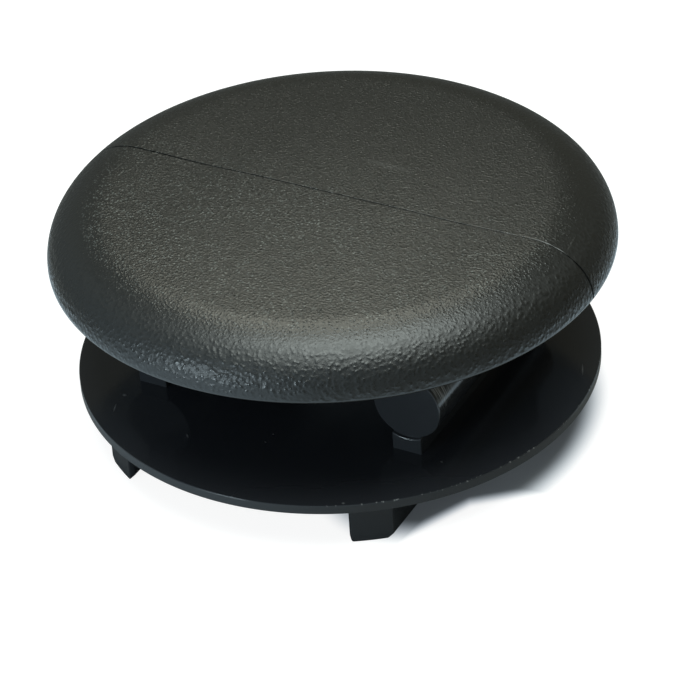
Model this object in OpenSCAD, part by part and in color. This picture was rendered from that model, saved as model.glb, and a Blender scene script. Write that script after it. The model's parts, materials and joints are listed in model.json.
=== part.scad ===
// Handrail end insert: a plug moulded in one piece that closes the end of a round handrail tube.
// It stands on its two runners. The cap faces up, and the tube comes over the disc from below.

/* [Tube] */
// Outside diameter of the tube, which the cap covers
tube_od = 50; // [44:0.5:60]
// Wall thickness of the tube
tube_wall = 1.5; // [1:0.1:2.5]
// Play between the disc's rim and the tube's bore, all round
bore_play = 0.1; // [0.05:0.05:0.5]

/* [Cap] */
// Height of the cap above its seat
cap_h = 4.8; // [3.5:0.1:7]
// How far the rounded edge reaches in from the cap's widest point
edge_w = 5.7; // [2:0.1:9]
// Height of the cap's widest point above its seat
lip_h = 0.3; // [0.1:0.05:1]
// How far the lip turns in below the widest point
lip_turn = 0.2; // [0.05:0.05:0.4]

/* [Disc] */
// Thickness of the disc
disc_t = 0.9; // [0.6:0.1:2.5]
// Clear height between the disc and the cap's seat
gap_h = 11.6; // [9.5:0.1:18]

/* [Ribs] */
// Distance across the outer faces of the ribs, and of the runners below them
web_span = 28; // [24:0.5:33]
// Thickness of a rib
rib_t = 2.75; // [2:0.05:4]
// Length of a rib, along the way the mould opens
rib_len = 23.2; // [16:0.2:28]
// Diameter of the round bar along each rib
bar_d = 6.3; // [4.5:0.1:8]
// Height of the bar's axis above the disc
bar_up = 4.5; // [4.2:0.1:5.4]
// Depth of the round pusher mark in each end of a rib
mark_deep = 0.3; // [0.1:0.05:0.8]

/* [Runners] */
// Thickness of a runner
runner_t = 3.4; // [2.5:0.1:5]
// Height of the runners below the disc
runner_h = 4; // [2:0.1:10]
// Distance from the disc's rim in to the runners' ends
runner_back = 1.25; // [0.5:0.05:4]
// Bevel along the runners' lower edges
foot_bevel = 0.45; // [0.1:0.05:1]
// Cut that takes off the sharp inner corner at each runner's end
corner_cut = 0.55; // [0.2:0.05:1.2]

/* [Hidden] */
$fn = 144;
plastic = [0.05, 0.05, 0.05];

// Radii, from the tube inwards
cap_r = tube_od / 2;
bore_r = cap_r - tube_wall;
disc_r = bore_r - bore_play;
runner_r = disc_r - runner_back;

// Heights, from the runners' undersides up
disc_z = runner_h;
gap_z = disc_z + disc_t;
seat_z = gap_z + gap_h;
wide_z = seat_z + lip_h;
edge_h = cap_h - lip_h;
bar_z = gap_z + bar_up;

// Ribs and runners run into the disc and the cap by this much, which makes one solid of them
root = disc_t / 2;

// Ribs and runners are flush with each other on their outer faces
web_x = web_span / 2;
rib_x = web_x - rib_t / 2;
runner_x = web_x - runner_t;
runner_top = runner_h + root;
corner_y = sqrt(pow(runner_r, 2) - pow(runner_x, 2));

// Steps along the cap's rounded edge, a quarter of an ellipse
edge_steps = 16;
quarter = 90;
function edge_point(i) = [
    cap_r - edge_w * (1 - cos(quarter * i / edge_steps)),
    wide_z + edge_h * sin(quarter * i / edge_steps)
];

// Cap: solid, with a flat seat below and an elliptical edge round a flat top
module cap() {
    rotate_extrude()
        polygon(concat(
            [[0, seat_z], [cap_r - lip_turn, seat_z]],
            [for (i = [0 : edge_steps]) edge_point(i)],
            [[0, seat_z + cap_h]]
        ));
}

// Disc: thin and flat, and a close fit in the tube's bore
module disc() {
    translate([0, 0, disc_z])
        cylinder(r = disc_r, h = disc_t);
}

// A round bar along the mould's way of opening, centred on a rib
module bar(length) {
    rotate([quarter, 0, 0])
        cylinder(d = bar_d, h = length, center = true);
}

// Rib: an upright plate that joins the cap and the disc, with a round bar along it.
// The mould's pushers leave a round mark where the bar meets each end of the plate.
module rib() {
    difference() {
        translate([rib_x - rib_t / 2, -rib_len / 2, gap_z - root])
            cube([rib_t, rib_len, gap_h + 2 * root]);
        for (end = [-1, 1])
            translate([rib_x, end * rib_len / 2, bar_z])
                bar(2 * mark_deep);
    }
    translate([rib_x, 0, bar_z])
        bar(rib_len - 2 * mark_deep);
}

// Runner: a bar under the disc in line with a rib, with rounded ends that follow the disc's rim
module runner() {
    intersection() {
        cylinder(r = runner_r, h = runner_top);
        linear_extrude(height = runner_top)
            polygon([
                [runner_x, corner_cut - corner_y],
                [runner_x, corner_y - corner_cut],
                [runner_x + 2 * corner_cut, corner_y + corner_cut],
                [web_x, corner_y + corner_cut],
                [web_x, -corner_y - corner_cut],
                [runner_x + 2 * corner_cut, -corner_y - corner_cut]
            ]);
        rotate([quarter, 0, 0])
            linear_extrude(height = 2 * runner_r, center = true)
                polygon([
                    [runner_x, foot_bevel],
                    [runner_x + foot_bevel, 0],
                    [web_x - foot_bevel, 0],
                    [web_x, foot_bevel],
                    [web_x, runner_top],
                    [runner_x, runner_top]
                ]);
    }
}

// The whole insert, one moulding
module end_insert() {
    color(plastic) {
        cap();
        disc();
        for (side = [0, 1])
            mirror([side, 0, 0]) {
                rib();
                runner();
            }
    }
}

end_insert();
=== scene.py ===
import json
import math

import bmesh
import bpy
from mathutils import Matrix, Vector, noise


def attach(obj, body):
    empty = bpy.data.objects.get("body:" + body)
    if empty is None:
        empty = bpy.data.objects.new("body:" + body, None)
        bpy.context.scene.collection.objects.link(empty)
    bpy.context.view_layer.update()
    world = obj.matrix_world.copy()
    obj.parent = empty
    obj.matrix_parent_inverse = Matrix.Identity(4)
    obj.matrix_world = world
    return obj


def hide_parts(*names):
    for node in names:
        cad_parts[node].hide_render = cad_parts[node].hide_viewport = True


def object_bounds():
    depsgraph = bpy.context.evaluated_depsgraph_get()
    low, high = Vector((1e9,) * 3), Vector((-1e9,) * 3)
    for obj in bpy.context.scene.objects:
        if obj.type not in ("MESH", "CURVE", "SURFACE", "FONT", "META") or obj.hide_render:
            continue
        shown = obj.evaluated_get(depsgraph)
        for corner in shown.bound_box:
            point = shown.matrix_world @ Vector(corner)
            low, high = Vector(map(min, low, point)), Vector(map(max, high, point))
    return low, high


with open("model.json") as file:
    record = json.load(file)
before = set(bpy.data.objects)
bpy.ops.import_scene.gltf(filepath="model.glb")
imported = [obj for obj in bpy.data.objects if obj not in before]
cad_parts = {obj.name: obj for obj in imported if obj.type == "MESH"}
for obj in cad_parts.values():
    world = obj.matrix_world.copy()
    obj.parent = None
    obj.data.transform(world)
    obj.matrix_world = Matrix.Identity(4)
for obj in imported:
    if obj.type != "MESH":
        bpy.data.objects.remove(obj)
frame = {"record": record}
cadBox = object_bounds()

mm = 0.001
scene = bpy.context.scene
mounts = {mount["name"]: mount for mount in frame["record"]["mounts"]}
rim = mounts["tube_bore_rim"]

# levels of the moulding that the frame already knows
levels = {
    "capRadius": min(cadBox[1].x, cadBox[1].y),
    "top": cadBox[1].z,
    "seat": mounts["cap_seat"]["pos_m"][2],
    "discRadius": rim["dims"]["r_mm"] * mm,
    "discThick": rim["dims"]["length_mm"] * mm,
    "discTop": rim["pos_m"][2] + rim["dims"]["length_mm"] * mm / 2,
}
levels["aboveSeat"] = levels["seat"] + 0.01 * mm    # what lies higher belongs to the cap
print("frame loaded, cap %.1f mm across" % (2 * levels["capRadius"] / mm))


# node tree helpers

def feed(tree, socket, value):
    if isinstance(value, bpy.types.NodeSocket):
        tree.links.new(value, socket)
    else:
        socket.default_value = value


def addNode(tree, kind, feeds=None, **settings):
    node = tree.nodes.new(kind)
    for name, value in settings.items():
        setattr(node, name, value)
    for name, value in (feeds or {}).items():
        feed(tree, node.inputs[name], value)
    return node


def calc(tree, operation, *values, clamp=False):
    node = addNode(tree, "ShaderNodeMath", operation=operation, use_clamp=clamp)
    for socket, value in zip(node.inputs, values):
        feed(tree, socket, value)
    return node.outputs[0]


def times(tree, *values):
    result = values[0]
    for value in values[1:]:
        result = calc(tree, "MULTIPLY", result, value)
    return result


def total(tree, *values):
    result = values[0]
    for value in values[1:]:
        result = calc(tree, "ADD", result, value)
    return result


def remap(tree, value, low, high, toLow=0.0, toHigh=1.0, ease="LINEAR"):
    feeds = {"Value": value, "From Min": low, "From Max": high, "To Min": toLow, "To Max": toHigh}
    return addNode(tree, "ShaderNodeMapRange", feeds, interpolation_type=ease).outputs[0]


def mixColour(tree, share, first, second):
    node = addNode(tree, "ShaderNodeMix", data_type="RGBA")
    for index, value in ((0, share), (6, first), (7, second)):  # 6 and 7 are its colour sockets
        feed(tree, node.inputs[index], value)
    return node.outputs[2]


def xyz(tree, x=0.0, y=0.0, z=0.0):
    return addNode(tree, "ShaderNodeCombineXYZ", {"X": x, "Y": y, "Z": z}).outputs[0]


def startTree(name, sizes):
    tree = bpy.data.node_groups.new(name, "GeometryNodeTree")
    tree.interface.new_socket("Geometry", in_out="OUTPUT", socket_type="NodeSocketGeometry")
    for label, value in sizes.items():
        kind = "NodeSocketInt" if isinstance(value, int) else "NodeSocketFloat"
        tree.interface.new_socket(label, in_out="INPUT", socket_type=kind)
    tree.interface.new_socket("finish", in_out="INPUT", socket_type="NodeSocketMaterial")
    return tree, tree.nodes.new("NodeGroupInput").outputs


def endTree(tree, given, geometry):
    whole = addNode(tree, "GeometryNodeRealizeInstances", {"Geometry": geometry})
    painted = addNode(tree, "GeometryNodeSetMaterial",
                      {"Geometry": whole.outputs[0], "Material": given["finish"]})
    tree.links.new(painted.outputs[0], tree.nodes.new("NodeGroupOutput").inputs["Geometry"])


# runs a tree once and hands back a plain mesh
def meshFromTree(tree, sizes, finish):
    holder = bpy.data.objects.new(tree.name, bpy.data.meshes.new(tree.name))
    scene.collection.objects.link(holder)
    modifier = holder.modifiers.new(tree.name, "NODES")
    modifier.node_group = tree
    for item in tree.interface.items_tree:
        if item.in_out == "INPUT":
            modifier[item.identifier] = finish if item.name == "finish" else sizes[item.name]
    ready = holder.evaluated_get(bpy.context.evaluated_depsgraph_get())
    made = bpy.data.meshes.new_from_object(ready)
    holder.modifiers.clear()
    bpy.data.objects.remove(holder)
    return made


# materials

def startMaterial(name):
    material = bpy.data.materials.new(name)
    material.use_nodes = True
    tree = material.node_tree
    place = addNode(tree, "ShaderNodeTexCoord").outputs["Object"]
    return material, tree, tree.nodes["Principled BSDF"], place


# grain of the cap: fine and sharp on the flat top, coarser and rounder on the edge
grain = {
    "colour": (0.0080, 0.0083, 0.0080, 1),
    "cloud": 6 * mm,
    "cloudShades": (0.85, 1.15),        # shares of the colour, dark and light
    "refraction": 1.58,
    "flatCell": 0.22 * mm,
    "flatDepth": 0.050 * mm,
    "dotCell": 0.30 * mm,       # sharper dots among the fine grain
    "dotReach": 0.35,           # of a cell
    "dotDepth": 0.034 * mm,
    "tipCell": 0.26 * mm,       # painted glints: tips painted lighter as sparkle, stronger on the front half
    "tipReach": (0.15, 0.42),   # of a cell, full and gone
    "tipChance": (0.40, 0.80),  # so that some cells have none
    "tipCloud": (0.35, 0.60, 0.4, 1.0),     # fainter where the cloud is dark
    # colour of the painted glints
    "tipColour": (0.125, 0.135, 0.130, 1),
    "tipFade": (7.0 * mm, -5.0 * mm),   # from the back to the front, none and full
    "tipDrop": (0.55 * mm, 0.05 * mm),  # below the top, gone and full
    "edgeCell": 0.36 * mm,
    "edgeReach": 0.70,          # of a cell
    "edgeDepth": 0.048 * mm,
    "creaseCell": 0.24 * mm,    # breaks up the grains of the edge
    "creaseDepth": 0.042 * mm,
    "edgeFrom": 0.25 * mm,      # below the top, where one grain gives way to the other
    "edgeTo": 1.20 * mm,
    "easeFrom": 1.0 * mm,       # the edge's grain is shallower and duller just below the top
    "easeTo": 2.8 * mm,
    "easedDepth": 0.60,
    "easedRoughness": 0.10,
    "bareFrom": 0.15 * mm,      # above the seat, where the grain dies out towards the lip
    "bareTo": 0.55 * mm,
    "flatRoughness": (0.38, 0.26),      # pits and tips
    "edgeRoughness": (0.38, 0.26),
    "roughBetween": (0.3, 0.7),         # heights of the bumps that count as pits and tips
    "lipRoughness": 0.06,
    "rubbed": (0.085, 0.085, 0.082, 1),
    "rubBetween": (0.35, 0.60),         # a rub shows on the higher bumps only
    # faint rubs and a hair line, in mm: middle, drop below the top, size, turn in degrees, strength
    "rubs": (
        ((2.8, 5.85), 0.0, (6.0, 1.0, 0.4), -3, 0.55),
        ((5.8, 3.25), 0.0, (1.2, 0.30, 0.4), 28, 1.0),
        ((1.66, 5.36), 0.0, (0.36, 0.30, 0.4), 0, 0.9),
        ((3.67, 6.74), 0.0, (0.32, 0.28, 0.4), 0, 0.9),
        ((22.25, 1.65), 0.7, (2.9, 0.16, 0.5), 97, 0.55),
    ),
}


# how near a point is to the middle of a small mark
def markShare(tree, place, middle, size, turn, strength):
    local = addNode(tree, "ShaderNodeMapping", {
        "Vector": place, "Location": Vector(middle) * mm, "Rotation": (0, 0, math.radians(turn)),
        "Scale": Vector(size) * mm / 2}, vector_type="TEXTURE").outputs[0]
    away = addNode(tree, "ShaderNodeVectorMath", operation="LENGTH")
    tree.links.new(local, away.inputs[0])
    return remap(tree, away.outputs["Value"], 0.0, 1.0, strength, 0.0)


def grainNoise(tree, place, cell):
    feeds = {"Vector": place, "Scale": 1 / cell, "Detail": 1.0}
    return addNode(tree, "ShaderNodeTexNoise", feeds).outputs[0]


def grainDomes(tree, place, cell, kind, reach):
    feeds = {"Vector": place, "Scale": 1 / cell}
    cells = addNode(tree, "ShaderNodeTexVoronoi", feeds, feature=kind)
    return remap(tree, cells.outputs["Distance"], 0.0, reach, 1.0, 0.0, "SMOOTHSTEP")


def makeGrainPlastic():
    material, tree, shader, place = startMaterial("grainedBlackPlastic")
    spot = addNode(tree, "ShaderNodeSeparateXYZ", {"Vector": place}).outputs
    up = spot["Z"]
    top = levels["top"]
    onEdge = remap(tree, up, top - grain["edgeTo"], top - grain["edgeFrom"], 1.0, 0.0)
    onFlat = calc(tree, "SUBTRACT", 1.0, onEdge)
    grown = remap(tree, up, levels["seat"] + grain["bareFrom"], levels["seat"] + grain["bareTo"])

    # heights of the two grains
    flatBumps = grainNoise(tree, place, grain["flatCell"])
    dots = grainDomes(tree, place, grain["dotCell"], "F1", grain["dotReach"])
    edgeBumps = grainDomes(tree, place, grain["edgeCell"], "SMOOTH_F1", grain["edgeReach"])
    creases = grainNoise(tree, place, grain["creaseCell"])
    flatHeight = total(tree, times(tree, flatBumps, grain["flatDepth"]),
                       times(tree, dots, grain["dotDepth"]))
    edgeHeight = total(tree, times(tree, edgeBumps, grain["edgeDepth"]),
                       times(tree, creases, grain["creaseDepth"]))
    easeLow = top - grain["easeTo"]
    easeHigh = top - grain["easeFrom"]
    eased = remap(tree, up, easeLow, easeHigh, 1.0, grain["easedDepth"])
    height = total(tree, times(tree, flatHeight, onFlat), times(tree, edgeHeight, eased, onEdge))
    bump = addNode(tree, "ShaderNodeBump", {"Height": height, "Distance": 1.0, "Strength": grown})

    # pits are duller than tips, and the lip is polished
    flatRough = remap(tree, flatBumps, *grain["roughBetween"], *grain["flatRoughness"])
    edgeRough = total(tree, remap(tree, edgeBumps, *grain["roughBetween"], *grain["edgeRoughness"]),
                      remap(tree, up, easeLow, easeHigh, 0.0, grain["easedRoughness"]))
    rough = total(tree, times(tree, flatRough, onFlat), times(tree, edgeRough, onEdge))
    lipRough = times(tree, calc(tree, "SUBTRACT", 1.0, grown), grain["lipRoughness"])
    rough = total(tree, times(tree, rough, grown), lipRough)

    # a cloudy black with painted glints on the tips and a few rubs
    feeds = {"Vector": place, "Scale": 1 / grain["cloud"]}
    cloud = addNode(tree, "ShaderNodeTexNoise", feeds).outputs[0]
    shades = []
    for share in grain["cloudShades"]:
        shades.append([share * part for part in grain["colour"][:3]] + [1])
    paint = mixColour(tree, cloud, *shades)
    # painted glints: some cells get lighter tips, fading out towards the back and below the top
    feeds = {"Vector": place, "Scale": 1 / grain["tipCell"]}
    cells = addNode(tree, "ShaderNodeTexVoronoi", feeds).outputs
    chance = addNode(tree, "ShaderNodeSeparateXYZ", {"Vector": cells["Color"]}).outputs["X"]
    onTop = remap(tree, up, *(top - drop for drop in grain["tipDrop"]))
    paintedGlints = times(tree, remap(tree, cells["Distance"], *grain["tipReach"], 1.0, 0.0),
                 remap(tree, chance, *grain["tipChance"]), remap(tree, cloud, *grain["tipCloud"]),
                 remap(tree, spot["Y"], *grain["tipFade"]), onTop)
    paint = mixColour(tree, paintedGlints, paint, grain["tipColour"])
    rubs = 0.0
    for (x, y), drop, size, turn, strength in grain["rubs"]:
        middle = (x, y, top / mm - drop)
        rubs = calc(tree, "MAXIMUM", rubs, markShare(tree, place, middle, size, turn, strength))
    rubs = times(tree, rubs, remap(tree, flatBumps, *grain["rubBetween"]))
    paint = mixColour(tree, rubs, paint, grain["rubbed"])

    tree.links.new(paint, shader.inputs["Base Color"])
    tree.links.new(rough, shader.inputs["Roughness"])
    tree.links.new(bump.outputs[0], shader.inputs["Normal"])
    shader.inputs["IOR"].default_value = grain["refraction"]
    return material


# smooth plastic below the cap, with tool marks on the bars, a little dust and wear, painted glints on
# flash burrs and painted shade on the disc's top
smooth = {
    "colour": (0.031, 0.033, 0.037, 1),
    "discColour": (0.021, 0.022, 0.026, 1),     # painted shade: the disc's top, under the cap, is painted darker
    "discFade": (0.01 * mm, 0.04 * mm),         # off its top, where the painted shade gives way to the plain colour
    # colour of the scuff and dust, and of the painted glints on the burrs
    "worn": (0.32, 0.32, 0.32, 1),
    "roughness": (0.08, 0.20),
    "cloud": 5 * mm,
    "cloudBetween": (0.35, 0.65),
    "markPitch": 0.16 * mm,
    "markLength": 2.5 * mm,
    "markDepth": 0.006 * mm,
    "markFrom": (2.0 * mm, 2.3 * mm),       # above the disc, where the marks start
    "scuff": ((14.6, -10.0, 11.3), 2.4),    # middle and radius, mm
    "scuffCore": 0.3,                       # share of the radius that is worn most
    "scuffFrom": (-11.2 * mm, -11.1 * mm),  # behind the bar's end
    "scuffBetween": (0.45, 0.65),           # heights of the tool marks that it shows on
    # specks on the disc, in mm: where, length and width, and turn in degrees
    "specks": (
        ((-14.1, -14.1), (0.50, 0.40), 0),
        ((-13.9, -16.1), (1.4, 0.16), 110),
        ((-5.9, -17.2), (0.80, 0.20), 130),
        ((21.4, 5.4), (2.0, 0.16), 114),
        ((16.0, -11.8), (0.35, 0.25), 0),
        ((11.0, -20.3), (0.35, 0.30), 0),
        ((0.8, -15.3), (0.24, 0.20), 0),
        ((0.85, -14.0), (0.24, 0.20), 0),
    ),
    "speckHeight": 0.4,
    "speckStrength": 0.45,
    "burrCell": 0.30 * mm,      # painted glints on flash burrs along the right of the disc's upper edge
    "burrReach": 0.14 * mm,
    "burrBetween": (0.60, 0.68),
    "burrFrom": (8 * mm, 14 * mm),
}


def makeSmoothPlastic():
    material, tree, shader, place = startMaterial("smoothBlackPlastic")
    spot = addNode(tree, "ShaderNodeSeparateXYZ", {"Vector": place}).outputs
    discTop = levels["discTop"]
    feeds = {"Vector": place, "Scale": 1 / smooth["cloud"], "Detail": 4.0}
    cloud = addNode(tree, "ShaderNodeTexNoise", feeds).outputs[0]
    rough = remap(tree, cloud, *smooth["cloudBetween"], *smooth["roughness"])

    # marks run round the bars
    stretch = (1 / smooth["markLength"], 1 / smooth["markPitch"], 1 / smooth["markLength"])
    drawn = addNode(tree, "ShaderNodeMapping", {"Vector": place, "Scale": stretch}).outputs[0]
    feeds = {"Vector": drawn, "Scale": 1.0, "Detail": 2.0}
    marks = addNode(tree, "ShaderNodeTexNoise", feeds).outputs[0]
    onBars = remap(tree, spot["Z"], *(discTop + rise for rise in smooth["markFrom"]))
    bump = addNode(tree, "ShaderNodeBump", {"Height": times(tree, marks, smooth["markDepth"]),
                                            "Distance": 1.0, "Strength": onBars})

    # the scuff on one bar, and the specks on the disc
    middle, reach = smooth["scuff"]
    away = addNode(tree, "ShaderNodeVectorMath", operation="DISTANCE")
    tree.links.new(place, away.inputs[0])
    away.inputs[1].default_value = Vector(middle) * mm
    core = smooth["scuffCore"] * reach
    near = remap(tree, away.outputs["Value"], core * mm, reach * mm, 1.0, 0.0, "SMOOTHSTEP")
    behind = remap(tree, spot["Y"], *smooth["scuffFrom"])
    worn = times(tree, near, behind, remap(tree, marks, *smooth["scuffBetween"]))
    for (x, y), (length, width), turn in smooth["specks"]:
        middle = (x, y, discTop / mm)
        size = (length, width, smooth["speckHeight"])
        speck = markShare(tree, place, middle, size, turn, smooth["speckStrength"])
        worn = calc(tree, "MAXIMUM", worn, speck)

    # painted glints on flash burrs on the disc's upper edge, at the right, mixed in with the wear
    spread = total(tree, times(tree, spot["X"], spot["X"]), times(tree, spot["Y"], spot["Y"]))
    radius = calc(tree, "SQRT", spread)
    feeds = {"Vector": place, "Scale": 1 / smooth["burrCell"], "Detail": 2.0}
    burrGlints = addNode(tree, "ShaderNodeTexNoise", feeds).outputs[0]
    burrGlints = remap(tree, burrGlints, *smooth["burrBetween"])
    onRim = remap(tree, radius, levels["discRadius"] - smooth["burrReach"], levels["discRadius"])
    onTop = remap(tree, spot["Z"], discTop - smooth["burrReach"], discTop)
    atRight = remap(tree, spot["X"], *smooth["burrFrom"])
    worn = calc(tree, "MAXIMUM", worn, times(tree, burrGlints, onRim, onTop, atRight))

    # painted shade: the disc's top under the cap gets the darker colour
    outsideDiscShade = calc(tree, "ABSOLUTE", calc(tree, "SUBTRACT", spot["Z"], discTop))
    outsideDiscShade = remap(tree, outsideDiscShade, *smooth["discFade"])
    paint = mixColour(tree, outsideDiscShade, smooth["discColour"], smooth["colour"])
    # one light colour for the scuff, the dust specks and the painted burr glints
    paint = mixColour(tree, worn, paint, smooth["worn"])
    tree.links.new(paint, shader.inputs["Base Color"])
    tree.links.new(rough, shader.inputs["Roughness"])
    tree.links.new(bump.outputs[0], shader.inputs["Normal"])
    return material


capFinish = makeGrainPlastic()
smoothFinish = makeSmoothPlastic()
print("plastics mixed")

# the cap, a turned shape: seat out to the lip, round the edge, in over the flat top
capLip = 0.30 * mm
capSpare = 0.002 * mm   # how far the cap stays under the solid's top
cap = {
    "capRadius": levels["capRadius"],
    "seat": levels["seat"],
    "lipTurn": 0.20 * mm,
    "lipHeight": capLip,
    "edgeReach": 5.7 * mm,
    "edgeHeight": levels["top"] - levels["seat"] - capLip - capSpare,
    "sinkDepth": 0.09 * mm,     # shallow dips where the ribs stand under the top
    "sinkAcross": 12.6 * mm,
    "sinkWidth": 3.5 * mm,
    "sinkLength": 10.0 * mm,
    "weld": 0.002 * mm,         # closes the seam and the two poles
    "aroundSteps": 360,
    "seatRows": 1,
    "lipRows": 8,
    "edgeRows": 30,
    "topRows": 52,
}


def makeCapTree():
    tree, given = startTree("capByRule", cap)
    rows = total(tree, given["seatRows"], given["lipRows"], given["edgeRows"], given["topRows"])
    sheet = addNode(tree, "GeometryNodeMeshGrid", {
        "Size X": 1.0, "Size Y": 1.0,
        "Vertices X": calc(tree, "ADD", given["aroundSteps"], 1.0),
        "Vertices Y": calc(tree, "ADD", rows, 1.0)}).outputs["Mesh"]
    place = addNode(tree, "GeometryNodeInputPosition").outputs[0]
    spot = addNode(tree, "ShaderNodeSeparateXYZ", {"Vector": place}).outputs
    half = 0.5      # the sheet is 1 by 1 and centred
    turn = times(tree, calc(tree, "ADD", spot["X"], half), 2 * math.pi)
    row = times(tree, calc(tree, "ADD", spot["Y"], half), rows)

    # how far each stretch of the profile has been walked, 0 to 1
    walked = {}
    passed = 0.0
    for name in ("seatRows", "lipRows", "edgeRows", "topRows"):
        share = calc(tree, "DIVIDE", calc(tree, "SUBTRACT", row, passed), given[name], clamp=True)
        walked[name] = share
        passed = calc(tree, "ADD", passed, given[name])
    lipAngle = times(tree, walked["lipRows"], math.pi / 2)
    edgeAngle = times(tree, walked["edgeRows"], math.pi / 2)
    lipIn = calc(tree, "SUBTRACT", 1.0, calc(tree, "COSINE", lipAngle))
    edgeIn = calc(tree, "SUBTRACT", 1.0, calc(tree, "COSINE", edgeAngle))
    edgeIn = times(tree, given["edgeReach"], edgeIn)
    seatRadius = calc(tree, "SUBTRACT", given["capRadius"], given["lipTurn"])
    flatRadius = calc(tree, "SUBTRACT", given["capRadius"], given["edgeReach"])
    radius = total(tree, times(tree, seatRadius, walked["seatRows"]),
                   times(tree, given["lipTurn"], calc(tree, "SINE", lipAngle)))
    topIn = times(tree, flatRadius, walked["topRows"])
    radius = calc(tree, "SUBTRACT", radius, total(tree, edgeIn, topIn))
    x = times(tree, radius, calc(tree, "COSINE", turn))
    y = times(tree, radius, calc(tree, "SINE", turn))
    z = total(tree, given["seat"], times(tree, given["lipHeight"], lipIn),
              times(tree, given["edgeHeight"], calc(tree, "SINE", edgeAngle)))

    # sink marks over the ribs
    across = calc(tree, "SUBTRACT", calc(tree, "ABSOLUTE", x), given["sinkAcross"])
    across = calc(tree, "DIVIDE", across, given["sinkWidth"])
    along = calc(tree, "DIVIDE", y, given["sinkLength"])
    spread = total(tree, times(tree, across, across), times(tree, along, along))
    dip = times(tree, calc(tree, "EXPONENT", times(tree, spread, -1.0)), given["sinkDepth"])
    z = calc(tree, "SUBTRACT", z, times(tree, dip, calc(tree, "SINE", edgeAngle)))

    bent = addNode(tree, "GeometryNodeSetPosition", {"Geometry": sheet, "Position": xyz(tree, x, y, z)})
    closed = addNode(tree, "GeometryNodeMergeByDistance",
                     {"Geometry": bent.outputs[0], "Distance": given["weld"]}).outputs[0]
    endTree(tree, given, closed)
    return tree


capMesh = meshFromTree(makeCapTree(), cap, capFinish)
print("cap turned,", len(capMesh.polygons), "faces")

# what hangs below the cap: ribs with their bars, the disc and the runners
under = {
    "discRadius": levels["discRadius"],
    "discThick": levels["discThick"],
    "discTop": levels["discTop"],
    "seat": levels["seat"],
    "webSpan": 28.0 * mm,
    "ribThick": 2.75 * mm,
    "ribLength": 23.2 * mm,
    "barRadius": 3.15 * mm,
    "barUp": 4.5 * mm,
    "markDeep": 0.3 * mm,
    "runnerThick": 3.4 * mm,
    "runnerRadius": levels["discRadius"] - 1.25 * mm,
    "footBevel": 0.45 * mm,
    "cornerCut": 0.55 * mm,
    "root": 0.4 * mm,           # how deep one shape runs into the next before they are fused
    "cutTaller": 3.0,           # how far the cutters reach past what they cut
    "cutLonger": 1.1,
    "discSteps": 360,
    "barSteps": 96,
}


def block(tree, size, at, turn=(0, 0, 0)):
    cube = addNode(tree, "GeometryNodeMeshCube", {"Size": size}).outputs["Mesh"]
    feeds = {"Geometry": cube, "Translation": at, "Rotation": turn}
    return addNode(tree, "GeometryNodeTransform", feeds).outputs[0]


def rod(tree, radius, length, steps, at, turn=(0, 0, 0)):
    feeds = {"Vertices": steps, "Radius": radius, "Depth": length}
    drum = addNode(tree, "GeometryNodeMeshCylinder", feeds).outputs["Mesh"]
    feeds = {"Geometry": drum, "Translation": at, "Rotation": turn}
    return addNode(tree, "GeometryNodeTransform", feeds).outputs[0]


def combine(tree, operation, first, *others):
    node = addNode(tree, "GeometryNodeMeshBoolean", operation=operation, solver="EXACT")
    if operation == "DIFFERENCE":
        tree.links.new(first, node.inputs["Mesh 1"])
        parts = others
    else:
        parts = (first,) + others
    for part in parts:
        tree.links.new(part, node.inputs["Mesh 2"])
    return node.outputs["Mesh"]


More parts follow.
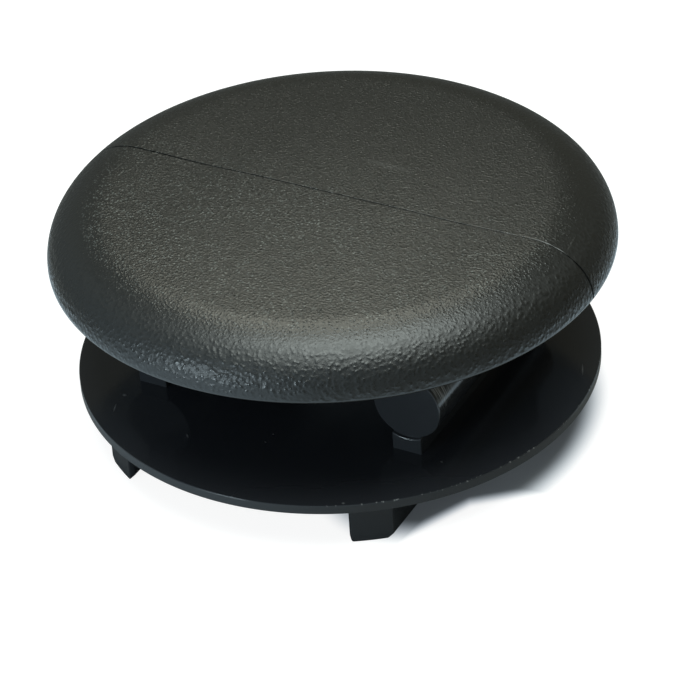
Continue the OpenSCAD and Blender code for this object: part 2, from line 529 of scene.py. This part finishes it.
def makeUnderTree():
    tree, given = startTree("websAndRunners", under)
    quarter = math.pi / 2
    eighth = math.pi / 4
    webX = times(tree, given["webSpan"], 0.5)
    discBase = calc(tree, "SUBTRACT", given["discTop"], given["discThick"])
    gap = calc(tree, "SUBTRACT", given["seat"], given["discTop"])

    # rib plate, its bar, and the round pusher marks in its ends
    ribX = calc(tree, "SUBTRACT", webX, times(tree, given["ribThick"], 0.5))
    ribTall = total(tree, gap, given["root"], given["root"])
    barZ = calc(tree, "ADD", given["discTop"], given["barUp"])
    plate = block(tree, xyz(tree, given["ribThick"], given["ribLength"], ribTall),
                  xyz(tree, ribX, 0.0, total(tree, given["discTop"], times(tree, gap, 0.5))))
    twoMarks = times(tree, given["markDeep"], 2.0)
    barLength = calc(tree, "SUBTRACT", given["ribLength"], twoMarks)
    bar = rod(tree, given["barRadius"], barLength, given["barSteps"],
              xyz(tree, ribX, 0.0, barZ), (quarter, 0, 0))
    marks = []
    for end in (-0.5, 0.5):
        at = xyz(tree, ribX, times(tree, given["ribLength"], end), barZ)
        marks.append(rod(tree, given["barRadius"], twoMarks, given["barSteps"], at, (quarter, 0, 0)))
    rib = combine(tree, "UNION", combine(tree, "DIFFERENCE", plate, *marks), bar)

    # runner, trimmed by a circle, with its lower edges and sharp corners taken off
    runnerTall = calc(tree, "ADD", discBase, given["root"])
    cutTall = times(tree, runnerTall, given["cutTaller"])
    runnerX = calc(tree, "SUBTRACT", webX, given["runnerThick"])
    runnerMiddle = calc(tree, "SUBTRACT", webX, times(tree, given["runnerThick"], 0.5))
    runnerLong = times(tree, given["runnerRadius"], 2.0)
    beam = block(tree, xyz(tree, given["runnerThick"], runnerLong, runnerTall),
                 xyz(tree, runnerMiddle, 0.0, times(tree, runnerTall, 0.5)))
    trim = rod(tree, given["runnerRadius"], cutTall, given["discSteps"], xyz(tree))
    beam = combine(tree, "INTERSECT", beam, trim)
    bevelSide = times(tree, given["footBevel"], math.sqrt(2))
    cutSide = times(tree, given["cornerCut"], 2 * math.sqrt(2))
    bevelLong = times(tree, runnerLong, given["cutLonger"])
    cornerY = calc(tree, "SUBTRACT", times(tree, given["runnerRadius"], given["runnerRadius"]),
                   times(tree, runnerX, runnerX))
    cornerY = calc(tree, "SQRT", cornerY)
    cutY = calc(tree, "ADD", cornerY, given["cornerCut"])
    cutters = []
    for edgeX in (runnerX, webX):
        cutters.append(block(tree, xyz(tree, bevelSide, bevelLong, bevelSide),
                             xyz(tree, edgeX), (0, eighth, 0)))
    for end in (-1.0, 1.0):
        cutters.append(block(tree, xyz(tree, cutSide, cutSide, cutTall),
                             xyz(tree, runnerX, times(tree, cutY, end)), (0, 0, eighth)))
    runner = combine(tree, "DIFFERENCE", beam, *cutters)

    # the other side is the same turned half round
    side = combine(tree, "UNION", rib, runner)
    otherSide = addNode(tree, "GeometryNodeTransform",
                        {"Geometry": side, "Rotation": (0, 0, math.pi)}).outputs[0]
    disc = rod(tree, given["discRadius"], given["discThick"], given["discSteps"],
               xyz(tree, 0.0, 0.0, total(tree, discBase, times(tree, given["discThick"], 0.5))))
    endTree(tree, given, combine(tree, "UNION", disc, side, otherSide))
    return tree


underMesh = meshFromTree(makeUnderTree(), under, smoothFinish)
print("ribs, disc and runners cut,", len(underMesh.polygons), "faces")

# one moulding out of both, with small breaks on the lower edges
moulding = {
    "edgeBreak": 0.09 * mm,
    "breakSteps": 2,
    "sharpAngle": math.radians(25),
    "shadeAngle": math.radians(14),
    "flatAngle": math.radians(0.3),
    "weld": 0.001 * mm,
    "shortest": 0.10 * mm,      # shorter edges are closed up before the edges are broken
}


def breakEdges(mesh):
    shape = bmesh.new()
    shape.from_mesh(mesh)
    bmesh.ops.remove_doubles(shape, verts=shape.verts, dist=moulding["weld"])
    bmesh.ops.dissolve_limit(shape, angle_limit=moulding["flatAngle"], verts=shape.verts,
                             edges=shape.edges)
    bmesh.ops.dissolve_degenerate(shape, dist=moulding["shortest"], edges=shape.edges)
    sharp = []
    for edge in shape.edges:
        if edge.is_manifold and edge.is_convex and edge.calc_face_angle() > moulding["sharpAngle"]:
            sharp.append(edge)
    bmesh.ops.bevel(shape, geom=sharp, offset=moulding["edgeBreak"], offset_type="OFFSET", profile=0.5,
                    segments=moulding["breakSteps"], affect="EDGES", clamp_overlap=False)
    shape.to_mesh(mesh)
    shape.free()


def fuseCap(thing, tool):
    fuse = thing.modifiers.new("fuseCap", "BOOLEAN")
    fuse.operation = "UNION"
    fuse.solver = "EXACT"
    fuse.object = tool
    ready = thing.evaluated_get(bpy.context.evaluated_depsgraph_get())
    made = bpy.data.meshes.new_from_object(ready)
    thing.modifiers.clear()
    thing.data = made


breakEdges(underMesh)
insert = bpy.data.objects.new("endInsert", underMesh)
capTool = bpy.data.objects.new("capTool", capMesh)
for thing in (insert, capTool):
    scene.collection.objects.link(thing)
fuseCap(insert, capTool)
bpy.data.objects.remove(capTool)
print("fused,", len(insert.data.polygons), "faces")

# the parting line: a groove where the two mould halves meet on y = 0, with a worn back edge
parting = {
    "halfWidth": 0.11 * mm,     # where it is widest
    "shoulder": 0.09 * mm,
    "bottom": 0.8,              # share of the width that is bottom
    "depth": 1.4,               # of half the width
    "slope": 0.45,              # of the shoulder
    # from left to right, x in mm: shares of the full width and of the full shoulder
    "along": (
        (-25.0, 0.90, 0.2),
        (-16.0, 0.75, 0.3),
        (-11.0, 0.60, 0.4),
        (13.0, 0.55, 0.5),
        (18.0, 0.45, 1.0),
        (21.8, 0.55, 0.9),
        (22.4, 0.40, 0.2),
        (23.2, 0.45, 0.1),
        (23.8, 1.00, 0.1),
        (25.1, 1.00, 0.1),
    ),
    "ragged": 0.7 * mm,         # length of its uneven stretches
    "worn": (0.1, 0.8, 1.0),    # least, usual and most of the shoulder
    "startsAt": 0.05 * mm,      # above the seat
    "snap": 0.0002 * mm,
}


def partingShares(x):
    stops = parting["along"]
    for (x0, width0, shoulder0), (x1, width1, shoulder1) in zip(stops, stops[1:]):
        if x <= x1:
            share = max(0.0, (x - x0) / (x1 - x0))
            return width0 + (width1 - width0) * share, shoulder0 + (shoulder1 - shoulder0) * share
    return stops[-1][1:]


def cutPartingLine(mesh):
    shape = bmesh.new()
    shape.from_mesh(mesh)
    wide = parting["halfWidth"]
    far = wide + parting["shoulder"]
    inner = wide * parting["bottom"]
    for plane in (-wide, -inner, inner, wide, far):
        near = set()
        for face in shape.faces:
            if face.calc_center_median().z > levels["aboveSeat"]:
                near.add(face)
                near.update(face.edges)
                near.update(face.verts)
        bmesh.ops.bisect_plane(shape, geom=list(near), dist=parting["snap"], plane_co=(0, plane, 0),
                               plane_no=(0, 1, 0))
    shape.normal_update()
    least, usual, most = parting["worn"]
    moves = []
    for vert in shape.verts:
        y = vert.co.y
        if vert.co.z < levels["seat"] + parting["startsAt"] or y < -wide or y > far:
            continue
        widthShare, shoulderShare = partingShares(vert.co.x / mm)
        worn = usual + noise.noise((vert.co.x / parting["ragged"], 0, 0))
        half = wide * widthShare
        shoulder = parting["shoulder"] * shoulderShare * min(most, max(least, worn))
        backEdge = shoulder * parting["slope"]      # how far it lies below the surface
        if y > wide:
            out = (y - wide) / parting["shoulder"]
            newY = half + out * shoulder
            down = backEdge * (1 - out)
        else:
            out = y / wide
            newY = out * half
            into = min(1.0, (1 - abs(out)) / (1 - parting["bottom"]))
            start = backEdge if out > 0 else 0.0
            down = start + (half * parting["depth"] - start) * into
        moves.append((vert, vert.normal * -down + Vector((0, newY - y, 0))))
    for vert, move in moves:
        vert.co += move
    shape.to_mesh(mesh)
    shape.free()


cutPartingLine(insert.data)
insert.data.materials.clear()
insert.data.materials.append(smoothFinish)
insert.data.materials.append(capFinish)
for face in insert.data.polygons:
    face.use_smooth = True
    face.material_index = 1 if face.center.z > levels["aboveSeat"] else 0
insert.data.set_sharp_from_angle(angle=moulding["shadeAngle"])
print("parting line cut,", len(insert.data.polygons), "faces")

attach(insert, "root")
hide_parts("end_insert")

# floor, light and camera
floorLook = {
    "radius": 2.0,
    "sides": 64,
    "albedo": (0.26, 0.26, 0.26, 1),
    "glow": 0.90,               # lifts the floor to white for the camera, but less at the right, in a painted shadow over the real one
    "shadeGlow": 0.045,         # but less at the right, where the shadow shows
    # bluish tint of the painted shadow
    "shadeTint": (0.76, 0.88, 1.0, 1),
    "shadeMiddle": (12 * mm, -0.5 * mm, 0),
    "shadeReach": (11.3 * mm, 16.8 * mm, 1),
    "shadeFrom": 0.84,
    "shadeTo": 1.10,
    # straight edges of the painted shadow towards the right front: which way, and where the shade
    # starts and ends to fade
    "shadeEdges": ((40, 18.3 * mm, 20.1 * mm), (64, 19.6 * mm, 21.2 * mm)),
    "mirrored": 0.90,           # a painted pool of light, seen only in reflections, in a ring round the object
    "ringFrom": (31 * mm, 36 * mm),
    "ringTo": (42 * mm, 56 * mm),
    "windowShare": 0.90,        # and a painted pool of window light in front of the window, seen only in reflections
    "windowWay": math.radians(-20),
    "windowSpread": (0.60, 1.00),
    "windowFrom": (24 * mm, 34 * mm),
    "windowTo": (160 * mm, 400 * mm),
    # bluish tint of the painted light in reflections
    "mirrorTint": (0.62, 0.84, 1.0, 1),
}


# how far a point lies out in one direction, azimuth 0 towards -Y
def howFar(tree, place, way):
    node = addNode(tree, "ShaderNodeVectorMath", operation="DOT_PRODUCT")
    tree.links.new(place, node.inputs[0])
    node.inputs[1].default_value = (math.sin(way), -math.cos(way), 0)
    return node.outputs["Value"]


def makeFloor():
    material, tree, shader, place = startMaterial("paleFloor")
    tree.nodes.remove(shader)
    paint = addNode(tree, "ShaderNodeBsdfDiffuse", {"Color": floorLook["albedo"]})
    path = addNode(tree, "ShaderNodeLightPath").outputs
    mirrored = calc(tree, "MAXIMUM", path["Is Glossy Ray"], path["Is Transmission Ray"])
    centre = addNode(tree, "ShaderNodeVectorMath", operation="LENGTH")
    tree.links.new(place, centre.inputs[0])
    far = centre.outputs["Value"]
    # painted light in reflections: a ring round the object and a pool in front of the window
    ring = times(tree, remap(tree, far, *floorLook["ringFrom"]),
                 remap(tree, far, *floorLook["ringTo"], floorLook["mirrored"], 0.0))
    facing = calc(tree, "DIVIDE", howFar(tree, place, floorLook["windowWay"]), far)
    windowPoolGlow = times(tree, remap(tree, facing, *floorLook["windowSpread"]),
                remap(tree, far, *floorLook["windowFrom"]),
                remap(tree, far, *floorLook["windowTo"], floorLook["windowShare"], 0.0))
    # painted shadow: the camera glow is lowered in an ellipse at the right, cut by two straight edges,
    # and tinted bluish
    local = addNode(tree, "ShaderNodeMapping", {
        "Vector": place, "Location": floorLook["shadeMiddle"],
        "Scale": floorLook["shadeReach"]}, vector_type="TEXTURE").outputs[0]
    away = addNode(tree, "ShaderNodeVectorMath", operation="LENGTH")
    tree.links.new(local, away.inputs[0])
    clear = remap(tree, away.outputs["Value"], floorLook["shadeFrom"], floorLook["shadeTo"],
                  ease="SMOOTHSTEP")
    past = []
    for way, start, end in floorLook["shadeEdges"]:
        beyond = howFar(tree, place, math.radians(way))
        past.append(remap(tree, beyond, start, end, ease="SMOOTHSTEP"))
    clear = calc(tree, "MAXIMUM", clear, calc(tree, "MINIMUM", *past))
    level = remap(tree, clear, 0.0, 1.0, floorLook["shadeGlow"], floorLook["glow"])
    strength = total(tree, times(tree, path["Is Camera Ray"], level),
                     times(tree, mirrored, calc(tree, "MAXIMUM", ring, windowPoolGlow)))
    tint = mixColour(tree, mirrored, mixColour(tree, clear, floorLook["shadeTint"], (1, 1, 1, 1)),
                     floorLook["mirrorTint"])
    glow = addNode(tree, "ShaderNodeEmission", {"Color": tint, "Strength": strength})
    both = addNode(tree, "ShaderNodeAddShader")
    tree.links.new(paint.outputs[0], both.inputs[0])
    tree.links.new(glow.outputs[0], both.inputs[1])
    tree.links.new(both.outputs[0], tree.nodes["Material Output"].inputs["Surface"])
    shape = bmesh.new()
    bmesh.ops.create_circle(shape, cap_ends=True, segments=floorLook["sides"],
                            radius=floorLook["radius"])
    mesh = bpy.data.meshes.new("floor")
    shape.to_mesh(mesh)
    shape.free()
    mesh.materials.append(material)
    floor = bpy.data.objects.new("floor", mesh)
    scene.collection.objects.link(floor)


makeFloor()

camera = {
    "azimuth": math.radians(29.85),
    "elevation": math.radians(32.55),
    "roll": math.radians(-3.80),
    "distance": 285.8 * mm,          # from the middle of the cap's seat
    "focal": 3258.6,                 # in pixels
    "seatPixel": (332.4, 238.5),     # where the middle of the seat is seen
    "side": 700,
    "sensor": 36.0,
    "clipStart": 0.01,
}


# direction from the object, azimuth 0 towards -Y
def directionTo(turn, lift):
    return Vector((math.sin(turn) * math.cos(lift), -math.cos(turn) * math.cos(lift), math.sin(lift)))


def placeCamera():
    back = directionTo(camera["azimuth"], camera["elevation"])
    right = Vector((math.cos(camera["azimuth"]), math.sin(camera["azimuth"]), 0))
    up = back.cross(right)
    cosine = math.cos(camera["roll"])
    sine = math.sin(camera["roll"])
    axes = Matrix((right * cosine + up * sine, up * cosine - right * sine, -back))
    middle = camera["side"] / 2
    aim = Vector((camera["seatPixel"][0] - middle, middle - camera["seatPixel"][1], camera["focal"]))
    axes = Vector((0, 0, 1)).rotation_difference(aim.normalized()).to_matrix() @ axes
    lens = bpy.data.cameras.new("camera")
    lens.sensor_width = camera["sensor"]
    lens.lens = camera["focal"] / camera["side"] * camera["sensor"]
    lens.clip_start = camera["clipStart"]
    eye = bpy.data.objects.new("camera", lens)
    columns = Matrix((axes[0], axes[1], -axes[2])).transposed()
    spot = Vector((0, 0, levels["seat"])) + back * camera["distance"]
    eye.matrix_world = Matrix.Translation(spot) @ columns.to_4x4()
    scene.collection.objects.link(eye)
    scene.camera = eye


placeCamera()

# softboxes: direction from the object in degrees, distance, size and radiance
softboxes = {
    "overhead": {"azimuth": 48, "elevation": 80, "distance": 0.28, "size": (0.240, 0.195),
                 "radiance": 6.2, "colour": (0.90, 1.0, 0.96)},
    "farBox": {"azimuth": 214, "elevation": 63, "distance": 0.094, "size": (0.056, 0.056),
               "radiance": 3.3, "colour": (0.96, 0.97, 0.83)},
    "window": {"azimuth": -20, "elevation": 9, "distance": 0.45, "size": (0.14, 0.07),
               "radiance": 16.0, "colour": (0.76, 0.92, 1.0)},
}


def hangSoftbox(name, box):
    back = directionTo(math.radians(box["azimuth"]), math.radians(box["elevation"]))
    lamp = bpy.data.lights.new(name, "AREA")
    lamp.shape = "RECTANGLE"
    lamp.size, lamp.size_y = box["size"]
    lamp.color = box["colour"]
    lamp.energy = box["radiance"] * math.pi * lamp.size * lamp.size_y   # watts for that radiance
    holder = bpy.data.objects.new(name, lamp)
    holder.location = Vector((0, 0, levels["seat"])) + back * box["distance"]
    holder.rotation_mode = "QUATERNION"
    holder.rotation_quaternion = back.to_track_quat("Z", "Y")
    holder.visible_camera = False
    scene.collection.objects.link(holder)


for name, box in softboxes.items():
    hangSoftbox(name, box)

# a dim room, brighter and cooler at the left front, darker and warmer at the right and behind
room = {
    "bright": (0.41, 0.52, 0.58, 1),
    "dark": (0.124, 0.120, 0.089, 1),
    "brightTowards": -25,
}


def makeRoom():
    world = bpy.data.worlds.new("room")
    scene.world = world
    world.use_nodes = True
    tree = world.node_tree
    way = addNode(tree, "ShaderNodeTexCoord").outputs["Generated"]
    half = 0.5      # brings -1 to 1 into 0 to 1
    turned = addNode(tree, "ShaderNodeMapping", {
        "Vector": way, "Rotation": (0, 0, math.radians(90 - room["brightTowards"])),
        "Scale": (half, half, half), "Location": (half, 0, 0)}).outputs[0]
    share = addNode(tree, "ShaderNodeTexGradient", {"Vector": turned}, gradient_type="QUADRATIC")
    walls = mixColour(tree, share.outputs["Fac"], room["dark"], room["bright"])
    tree.links.new(walls, tree.nodes["Background"].inputs["Color"])


makeRoom()
scene.view_settings.view_transform = "Standard"
print("floor, softboxes and camera set")
